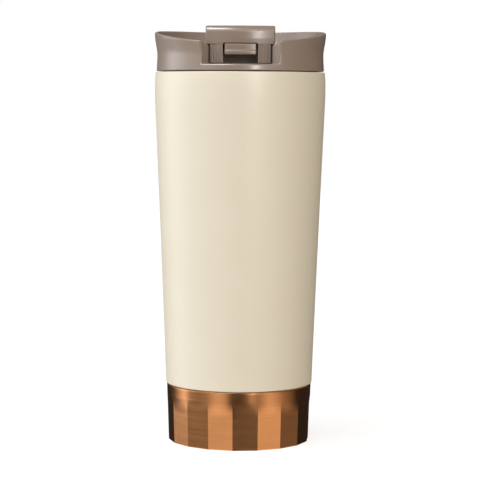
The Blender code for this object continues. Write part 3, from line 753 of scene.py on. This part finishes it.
    def plug(self, x: np.ndarray, y: np.ndarray, z: np.ndarray) -> np.ndarray:
        """Signed distance to the plug: a cup with a gasket groove, a sip tube and a vent tube."""
        radius = np.hypot(x, y)
        cup = round_and(radius - self.plug_r, slab(z, self.plug_bottom_z, self.bottom_z - 0.3), 0.6)
        cup = np.maximum(cup, -np.maximum(radius - self.plug_r + self.plug_wall, self.plug_bottom_z + self.plug_wall - z))
        groove = np.maximum(self.plug_r - 1.0 - radius, slab(z, self.gasket_z - 1.6, self.gasket_z + 1.6))
        cup = np.maximum(cup, -groove)
        for place, hole_r in (self.sip, self.vent):
            across = np.hypot(x, y - place)
            tube = round_and(across - hole_r - 1.3, slab(z, self.plug_bottom_z + 0.6, self.deck_z - self.deck_wall - 0.3), 0.3)
            cup = np.maximum(round_or(cup, tube, 0.5), hole_r - across)
        return cup

    def make_plug(self) -> None:
        """Plug under the lid."""
        reach = self.plug_r + 1.0
        plug = moulded("lid_plug_moulding", self.plug, (-reach, -reach, 159.2), (reach, reach, 184.4), 0.62)
        self.wardrobe.place(plug, MOULDED_PP, "lid", "taupe_plastic", "lid_plug")

    def make_gasket(self) -> None:
        """Silicone gasket: a band with two soft wiping lips."""
        root, lip, z = self.plug_r - 0.7, 37.0, self.gasket_z
        corners = [(root, z - 1.3), (36.2, z - 1.3), (lip, z - 1.0), (36.4, z - 0.3), (36.4, z + 0.3)]
        corners += [(lip, z + 1.0), (36.2, z + 1.3), (root, z + 1.3)]
        gasket = turned("silicone_gasket", softened(corners, 0.3, closed=True), 192)
        self.wardrobe.place(gasket, SILICONE, "lid", "grey_silicone", "lid_gasket")

    def make_pin(self) -> None:
        """Hinge pin: a round bar along X with chamfered ends."""
        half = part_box("hinge_pin")[1][0] / MM
        stations = np.array([(-half, 0.75), (-half + 0.25, 1.0), (half - 0.25, 1.0), (half, 0.75)])
        turn = np.linspace(0.0, math.tau, 32, endpoint=False)
        ring = np.stack([np.zeros(32), np.cos(turn), np.sin(turn)], axis=1)
        loops = ring[None] * stations[:, 1, None, None]
        loops = loops + np.stack([stations[:, 0], np.full(4, self.pin[0]), np.full(4, self.pin[1])], axis=1)[:, None]
        pin = carried("hinge_pin_wire", loops, 30.0)
        self.wardrobe.place(pin, DRAWN_WIRE, "lid", "pin_steel", "hinge_pin")

    def make(self) -> None:
        """Builds the lid's pieces."""
        self.make_shell()
        self.make_plug()
        self.make_gasket()
        self.make_pin()


# ---------------------------------------------------------------- the lever and its button


def bow(x: np.ndarray, y: np.ndarray) -> np.ndarray:
    """How far back the lever's curved face moves a place: all of it at the front, nothing behind the nose."""
    share = np.clip((-14.0 - y) / 17.2, 0.0, 1.0)
    return share * (42.0 - np.sqrt(42.0**2 - np.clip(x, -30.0, 30.0) ** 2))


@dataclass
class Lever:
    """Flip lever with its legs, carrier, stopper, vent plug, lock button and spring. Sizes in mm."""

    wardrobe: Wardrobe
    pin: tuple[float, float]
    half: float = field(init=False)
    top_z: float = field(init=False)
    front_y: float = -31.2
    face_z: float = 186.5
    cheek_z: float = 186.0
    nose_r: float = 3.0
    wall: float = 1.6
    edge_r: float = 0.65
    knuckle_r: float = 3.0
    boss_half: float = 10.9
    leg: tuple[float, float] = (8.0, 13.8)
    leg_front_y: float = -30.95
    leg_deep: float = 1.5
    leg_foot_z: float = 177.3
    ribs: int = 7
    rib_deep: float = 0.28
    button_half: float = 7.15
    button_z: tuple[float, float] = (181.2, 186.2)
    lip_z: float = 183.1
    stopper_y: float = -13.0
    vent_y: float = -3.0

    def __post_init__(self) -> None:
        """Reads the lever's width and height from the frame."""
        _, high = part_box("lever_cover")
        self.half, self.top_z = high[0] / MM, high[2] / MM

    def outline(self, inset: float = 0.0) -> np.ndarray:
        """Side view of the cover as rows of y and z: a leaning face, a round nose and a falling top."""
        nose = arc((self.front_y + self.nose_r, self.top_z - self.nose_r), self.nose_r - inset, 180, 90, 12)
        face = [(self.front_y + 0.2 + inset, self.cheek_z), (self.front_y + inset, 188.6)]
        top = [(-15.0, self.top_z - 0.3 - inset), (-3.0, self.top_z - 0.8 - inset), (self.pin[0], self.top_z - 1.2 - inset)]
        return np.concatenate([face, nose, top])

    def cover(self, x: np.ndarray, y: np.ndarray, z: np.ndarray) -> np.ndarray:
        """Signed distance to the cover: the outline carried across, hollowed, with a window for the boss."""
        bent = y - bow(x, y)
        rear = [(6.9, 192.4), (7.9, 190.7), *arc(self.pin, self.knuckle_r, 10, -90, 12), (2.6, 186.1), (-27.0, 186.1)]
        solid = outline_distance(np.concatenate([self.outline(), rear]), bent, z)
        solid = round_and(solid, np.abs(x) - self.half, self.edge_r)
        room = np.concatenate([self.outline(2.0)[1:-1], [(1.5, 191.3), (1.5, 184.0), (-29.2, 184.0)]])
        hollow = np.maximum(outline_distance(room, bent, z), np.abs(x) - self.half + self.wall)
        solid = round_cut(solid, hollow, 0.25)
        reach = np.hypot(y - self.pin[0], z - self.pin[1])
        window = np.minimum(np.maximum(self.pin[0] - y, 184.0 - z), np.maximum(reach - self.knuckle_r, 0.5 - y))
        window = np.minimum(window, np.maximum(slab(y, 1.0, 6.0), z - 190.6))
        window = np.maximum(window, np.abs(x) - self.boss_half - 0.3)
        solid = round_cut(solid, window, 0.2)
        relief = np.maximum(np.maximum(np.abs(x) - 7.6, y + 28.0), z - self.face_z)
        solid = round_cut(solid, relief, 0.2)
        return np.maximum(solid, -np.maximum(reach - 1.15, np.abs(x) - 15.3))

    def make_cover(self) -> None:
        """Lever cover."""
        reach = self.half + 0.8
        cover = moulded("lever_cover_moulding", self.cover, (-reach, -32.2, 185.0), (reach, 9.6, 195.4), 0.32)
        self.wardrobe.place(cover, MOULDED_PP, "lever", "taupe_plastic", "lever_cover")

    def make_leg(self, side: int, name: str) -> None:
        """One ribbed leg: a rounded plan with a cosine row of ribs, carried up under the cover.

        Args:
            side: 1 for the leg at +X, -1 for the other.
            name: Name of the piece.
        """
        inner, outer = self.leg
        back = self.leg_front_y + self.leg_deep
        across = np.linspace(inner + 0.25, outer - 0.25, self.ribs * 14 + 1)
        wave = np.cos(math.tau * self.ribs * (across - across[0]) / (across[-1] - across[0]))
        front = np.stack([across, self.leg_front_y + 0.5 * self.rib_deep * (1.0 - wave)], axis=1)
        right = arc((outer - 0.25, self.leg_front_y + 0.25), 0.25, -90, 0, 5)
        left = arc((inner + 0.25, self.leg_front_y + 0.25), 0.25, 180, 270, 5)
        plan = np.concatenate([front, right, [(outer, back), (inner, back)], left])
        middle = np.array([0.5 * (inner + outer), 0.5 * (self.leg_front_y + back)])
        z = np.array([self.leg_foot_z, 177.36, 177.5, 177.75, 179.0, 181.0, 183.0, 185.0, 187.2])
        shrink = np.array([0.35, 0.16, 0.05, 0.0, 0.0, 0.0, 0.0, 0.0, 0.0])
        span = np.abs(plan - middle).max(axis=0)
        scale = 1.0 - shrink[:, None] / span[None, :]
        loops = np.empty((len(z), len(plan), 3))
        loops[:, :, :2] = middle + (plan - middle)[None] * scale[:, None, :]
        loops[:, :, 1] += bow(loops[:, :, 0], loops[:, :, 1])
        loops[:, :, 2] = z[:, None]
        loops[:, :, 0] *= side
        leg = carried(name, loops, 50.0)
        self.wardrobe.place(leg, MOULDED_PP, "lever", "taupe_plastic")

    def button(self, x: np.ndarray, y: np.ndarray, z: np.ndarray) -> np.ndarray:
        """Signed distance to the button: a block with a finger lip, a stem behind the cover's face, and lugs."""
        low, high = self.button_z
        front = self.front_y + 0.1
        straight, y = y, y - bow(x, y)
        block = np.maximum(slab(y, front, -26.0), slab(z, low, high))
        lip = np.maximum(slab(y, front - 0.9, -29.0), slab(z, low, self.lip_z))
        side = np.abs(x) - self.button_half
        body = round_or(round_and(slab(y, front, -26.0), slab(z, low, high), 0.4), round_and(slab(y, front - 0.9, -29.0), slab(z, low, self.lip_z), 0.55), 0.45)
        body = round_and(np.where(np.minimum(block, lip) < 3.0, body, np.minimum(block, lip)), side, 0.4)
        stem = np.maximum(np.maximum(np.abs(x) - 4.5, slab(straight, -28.9, -27.3)), slab(z, high - 1.0, 191.6))
        lugs = np.maximum(np.maximum(np.abs(x) - 7.45, slab(straight, -27.4, -26.1)), slab(z, 182.4, 183.8))
        return np.minimum(round_or(body, stem, 0.3), lugs)

    def make_button(self) -> None:
        """Lock button."""
        button = moulded("lock_button_moulding", self.button, (-8.2, -32.9, 180.4), (8.2, -25.2, 192.2), 0.2)
        self.wardrobe.place(button, MOULDED_PP, "button", "taupe_plastic", "lock_button")

    def carrier(self, x: np.ndarray, y: np.ndarray, z: np.ndarray) -> np.ndarray:
        """Signed distance to the carrier: a plate with the spring's wall and two neck holes."""
        plate = round_and(np.maximum(np.abs(x) - 13.8, slab(y, -21.0, 0.6)), slab(z, 187.2, 188.6), 0.25)
        wall = round_and(np.maximum(np.abs(x) - 4.0, slab(y, -21.0, -19.6)), slab(z, 187.4, 191.7), 0.25)
        solid = round_or(plate, wall, 0.4)
        for place, hole_r in ((self.stopper_y, 2.5), (self.vent_y, 1.3)):
            solid = np.maximum(solid, hole_r - np.hypot(x, y - place))
        return solid

    def make_carrier(self) -> None:
        """Stopper carrier."""
        carrier = moulded("stopper_carrier_moulding", self.carrier, (-14.6, -21.8, 186.4), (14.6, 1.4, 192.4), 0.34)
        self.wardrobe.place(carrier, MOULDED_PP, "lever", "taupe_plastic", "stopper_carrier")

    def make_stopper(self) -> None:
        """Silicone stopper: a tapered plug, a sealing flange with a soft rim, and a mushroom neck."""
        corners = [(0.0, 184.2), (4.0, 184.2), (4.4, 185.75), (6.5, 185.9), (6.6, 186.9), (2.2, 186.9), (2.2, 188.9)]
        corners += [(3.2, 188.9), (2.4, 190.4), (0.0, 190.6)]
        stopper = turned("silicone_stopper", softened(corners, 0.35), 96, (0.0, self.stopper_y))
        self.wardrobe.place(stopper, SILICONE, "lever", "grey_silicone", "stopper")

    def make_vent_plug(self) -> None:
        """Small silicone plug over the vent hole."""
        corners = [(0.0, 184.8), (0.6, 184.8), (0.8, 185.8), (2.0, 185.9), (2.0, 186.9), (1.0, 186.9), (1.0, 188.9)]
        corners += [(1.7, 188.9), (1.2, 189.9), (0.0, 190.0)]
        plug = turned("silicone_vent_plug", softened(corners, 0.25), 64, (0.0, self.vent_y))
        self.wardrobe.place(plug, SILICONE, "lever", "grey_silicone", "vent_plug")

    def make_spring(self) -> None:
        """Return spring: round wire along a helix about Y, whose first and last turns lie flat."""
        turns, wire, radius, centre_z = 5.0, 0.25, 1.8, 189.4
        start, end = -27.0 + wire, -21.3 - wire
        share = np.linspace(0.0, 1.0, 241)
        pitch = np.clip((share * turns - 0.6) / (turns - 1.2), 0.0, 1.0)
        angle = math.tau * turns * share
        path = np.stack([radius * np.cos(angle), start + (end - start) * pitch, centre_z + radius * np.sin(angle)], axis=1)
        outward = np.stack([np.cos(angle), 0.0 * angle, np.sin(angle)], axis=1)
        along = np.gradient(path, axis=0)
        along /= np.linalg.norm(along, axis=1, keepdims=True)
        third = np.cross(along, outward)
        turn = np.linspace(0.0, math.tau, 10, endpoint=False)[None, :, None]
        loops = path[:, None] + wire * (np.cos(turn) * outward[:, None] + np.sin(turn) * third[:, None])
        spring = carried("lock_spring_wire", loops, 50.0)
        self.wardrobe.place(spring, DRAWN_WIRE, "lever", "pin_steel", "lock_spring")

    def make(self) -> None:
        """Builds the lever's pieces and the button."""
        self.make_cover()
        self.make_leg(1, "right_leg")
        self.make_leg(-1, "left_leg")
        self.make_carrier()
        self.make_stopper()
        self.make_vent_plug()
        self.make_spring()
        self.make_button()


# ---------------------------------------------------------------- studio


# Brightness around the horizon, belt by belt from the floor to overhead: the two heights, in degrees,
# between which a belt takes over from the one under it, then (degrees from the front towards +X, level).
TOP_LEVEL = 4.4
WARMTH = [(-150, "FFFFFF"), (-90, "F4FAFF"), (-20, "FFFDFA"), (20, "FFFDFA"), (80, "FFF3E4"), (150, "FFFFFF")]
BELTS = [
    (-90, -90, [(-165, 0.3), (-135, 1.0), (-105, 3.0), (-75, 0.5), (-45, 2.2), (-18, 0.6), (15, 0.2), (40, 1.2), (75, 1.7), (105, 0.5), (135, 0.1)]),
    (-32, -18, [(-150, 0.02), (-124, 0.05), (-110, 0.4), (-98, 1.1), (-86, 0.0), (-50, 0.2), (-38, 0.7), (-25, 0.9), (-12, 0.0), (30, 0.0), (40, 0.4), (50, 0.9), (64, 0.7), (78, 0.35), (90, 0.25), (105, 0.03), (160, 0.03)]),
    (-7, -1, [(-150, 0.1), (-135, 0.2), (-122, 0.9), (-110, 4.3), (-94, 4.4), (-75, 1.8), (-62, 0.9), (-40, 0.8), (-24, 0.2), (-8, 0.0), (12, 0.0), (20, 1.0), (30, 1.0), (38, 1.5), (53, 1.3), (66, 0.3), (82, 0.05), (160, 0.02)]),
    (5, 11, [(-160, 0.15), (-140, 0.3), (-115, 1.6), (-98, 2.4), (-80, 1.9), (-62, 1.7), (-45, 2.4), (-30, 1.2), (-18, 0.3), (8, 0.4), (14, 1.5), (19, 4.0), (25, 3.0), (32, 0.9), (52, 0.4), (80, 0.3), (110, 0.05), (160, 0.1)]),
    (18, 27, [(-165, 0.6), (-135, 0.8), (-105, 1.3), (-75, 1.4), (-50, 2.7), (-30, 1.8), (-10, 1.6), (12, 2.8), (20, 4.2), (28, 3.0), (38, 1.4), (52, 1.4), (75, 0.7), (105, 0.2), (135, 0.3), (165, 0.8)]),
    (40, 55, [(-135, 0.3), (-75, 1.2), (-45, 1.9), (-10, 0.9), (45, 0.5), (135, 0.5)]),
]


@dataclass
class Studio:
    """Pale floor, soft light and the camera. Distances in metres."""

    place: tuple[float, float, float] = (0.0, -0.872, 0.1625)
    pitch: float = 4.45
    yaw: float = -0.015
    roll: float = 0.27
    lens: float = 138.75
    level: float = 1.0

    def add_softbox(self, name: str, azimuth: float, elevation: float, size: tuple[float, float], watts: float) -> None:
        """A small softbox that faces the tumbler, 0.9 m away, and shows in glossy surfaces alone.

        Args:
            name: Name of the light.
            azimuth: Degrees from the front towards +X.
            elevation: Degrees above the horizon.
            size: Width and height, in metres.
            watts: Power.
        """
        lamp = bpy.data.lights.new(name, "AREA")
        lamp.shape = "RECTANGLE"
        lamp.size, lamp.size_y = size
        lamp.energy = watts
        turn, lift = math.radians(azimuth), math.radians(elevation)
        light = bpy.data.objects.new(name, lamp)
        flat = 0.9 * math.cos(lift)
        light.location = (flat * math.sin(turn), -flat * math.cos(turn), 0.15 + 0.9 * math.sin(lift))
        light.rotation_euler = Euler((math.pi / 2 - lift, 0.0, turn))
        light.visible_diffuse = False
        bpy.context.scene.collection.objects.link(light)

    def add_world(self) -> None:
        """Surroundings: white where the camera looks at them, and a studio where surfaces mirror them.

        The studio is a stack of belts of light and dark. The compass direction picks the brightness
        along each belt with a ramp, and the height of the direction mixes one belt into the next.
        """
        world = bpy.data.worlds.new("studio")
        bpy.context.scene.world = world
        world.use_nodes = True
        tree = world.node_tree
        tree.nodes.clear()
        way = add_node(tree, "ShaderNodeTexCoord").outputs["Generated"]
        parts = add_node(tree, "ShaderNodeSeparateXYZ", Vector=way).outputs
        front = add_node(tree, "ShaderNodeMath", {"operation": "MULTIPLY"}, at0=parts["Y"], at1=-1.0).outputs[0]
        turn = add_node(tree, "ShaderNodeMath", {"operation": "ARCTAN2"}, at0=parts["X"], at1=front).outputs[0]
        share = add_node(
            tree, "ShaderNodeMath", {"operation": "MULTIPLY_ADD"}, at0=turn, at1=1 / math.tau, at2=0.5
        ).outputs[0]
        light = None
        for low, high, strips in BELTS:
            grey = [(0.5 + degrees / 360.0, (level / TOP_LEVEL,) * 3 + (1.0,)) for degrees, level in strips]
            belt = ramp(tree, share, grey)
            if light is None:
                light = belt
                continue
            rise = add_node(
                tree, "ShaderNodeMapRange", {"interpolation_type": "SMOOTHSTEP"},
                at0=parts["Z"], at1=math.sin(math.radians(low)), at2=math.sin(math.radians(high)),
            ).outputs[0]
            light = add_node(tree, "ShaderNodeMix", {"data_type": "RGBA"}, at0=rise, at6=light, at7=belt).outputs[2]
        warmth = ramp(tree, share, [(0.5 + degrees / 360.0, colour(tint)) for degrees, tint in WARMTH])
        light = add_node(
            tree, "ShaderNodeMix", {"data_type": "RGBA", "blend_type": "MULTIPLY"}, at0=1.0, at6=light, at7=warmth
        ).outputs[2]
        studio = add_node(tree, "ShaderNodeBackground", Color=light, Strength=TOP_LEVEL * self.level).outputs[0]
        white = add_node(tree, "ShaderNodeBackground", Color=(1.0, 1.0, 1.0, 1.0), Strength=1.0).outputs[0]
        seen = add_node(tree, "ShaderNodeLightPath").outputs["Is Camera Ray"]
        mix = add_node(tree, "ShaderNodeMixShader", at0=seen, at1=studio, at2=white).outputs[0]
        add_node(tree, "ShaderNodeOutputWorld", Surface=mix)

    def add_floor(self) -> None:
        """Pale floor under the tumbler: a wide disc that mirrors don't see."""
        section = np.array([(0.0, -2.0), (2500.0, -2.0), (2500.0, 0.0), (0.0, 0.0)])
        floor = turned("pale_floor", section[::-1], 96)
        paint = bpy.data.materials.new("pale_floor_paint")
        paint.use_nodes = True
        tree = paint.node_tree
        tree.nodes.clear()
        glow = add_node(tree, "ShaderNodeEmission", Color=colour("FFFFFF"), Strength=0.72).outputs[0]
        matte = add_node(tree, "ShaderNodeBsdfDiffuse", Color=colour("A8A8A8")).outputs[0]
        add_node(tree, "ShaderNodeOutputMaterial", Surface=add_node(tree, "ShaderNodeAddShader", at0=glow, at1=matte).outputs[0])
        floor.data.materials.append(paint)
        floor.visible_glossy = floor.visible_diffuse = floor.visible_shadow = False

    def add_camera(self) -> None:
        """Camera in front, a little above the middle, with a long lens."""
        data = bpy.data.cameras.new("camera")
        data.lens = self.lens
        camera = bpy.data.objects.new("camera", data)
        turn = Matrix.Rotation(math.radians(self.yaw), 4, "Z") @ Matrix.Rotation(math.radians(90.0 - self.pitch), 4, "X")
        turn = turn @ Matrix.Rotation(math.radians(self.roll), 4, "Z")
        camera.matrix_world = Matrix.Translation(self.place) @ turn
        bpy.context.scene.collection.objects.link(camera)
        bpy.context.scene.camera = camera

    def make(self) -> None:
        """Sets the stage."""
        self.add_world()
        self.add_softbox("softbox_right", 21.0, 11.0, (0.08, 0.36), 2.6)
        self.add_softbox("softbox_left", -45.0, 55.0, (0.5, 0.3), 11.0)
        self.add_floor()
        self.add_camera()
        bpy.context.scene.view_settings.view_transform = "Standard"


def main() -> None:
    """Builds the looks on the frame, in order."""
    logging.basicConfig(level=logging.INFO, format="%(name)s %(message)s")
    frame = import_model()
    hinge = next(joint for joint in frame["joints"] if joint["name"] == "lever_flip")
    pin = (hinge["pos_m"][1] / MM, hinge["pos_m"][2] / MM)
    wardrobe = Wardrobe()
    Studio().make()
    Cup(wardrobe).make()
    Lid(wardrobe, pin).make()
    Lever(wardrobe, pin).make()
    hidden = {"outer_bottom": LINER_STEEL, "getter": GETTER_METAL, "vacuum_seal": SOLDER}
    for node, finish in hidden.items():
        wardrobe.dress(frame["nodes"][node], finish)


if __name__ == "__main__":
    main()
